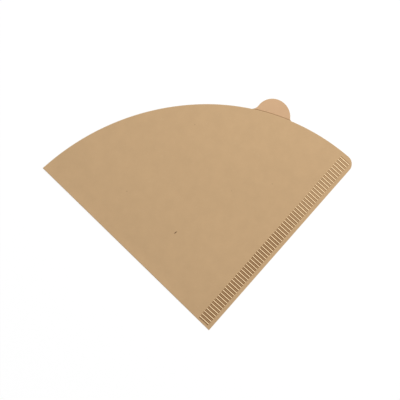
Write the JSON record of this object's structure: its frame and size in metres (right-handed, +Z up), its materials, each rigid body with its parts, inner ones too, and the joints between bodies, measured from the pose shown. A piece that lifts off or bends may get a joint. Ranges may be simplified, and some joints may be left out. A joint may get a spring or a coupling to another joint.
{
  "type": "paper coffee filter",
  "caption": "Flat-folded paper filter for a cone dripper: fan-shaped two-ply sheet with a folded side, a crimped seam, an open rim and a round finger tab",
  "frame": {"origin": "middle of the folded sheet's outline in plan, on the surface that it lies on", "axes": "+X runs from the fold side to the seam side, +Y from the closed tip to the open rim, +Z up out of the front ply"},
  "size_m": [0.1794, 0.1328, 0.001],
  "materials": {
    "filter_paper": "matte"
  },
  "bodies": {
    "root": {"filter_sheet": "filter_paper"}
  },
  "joints": []
}
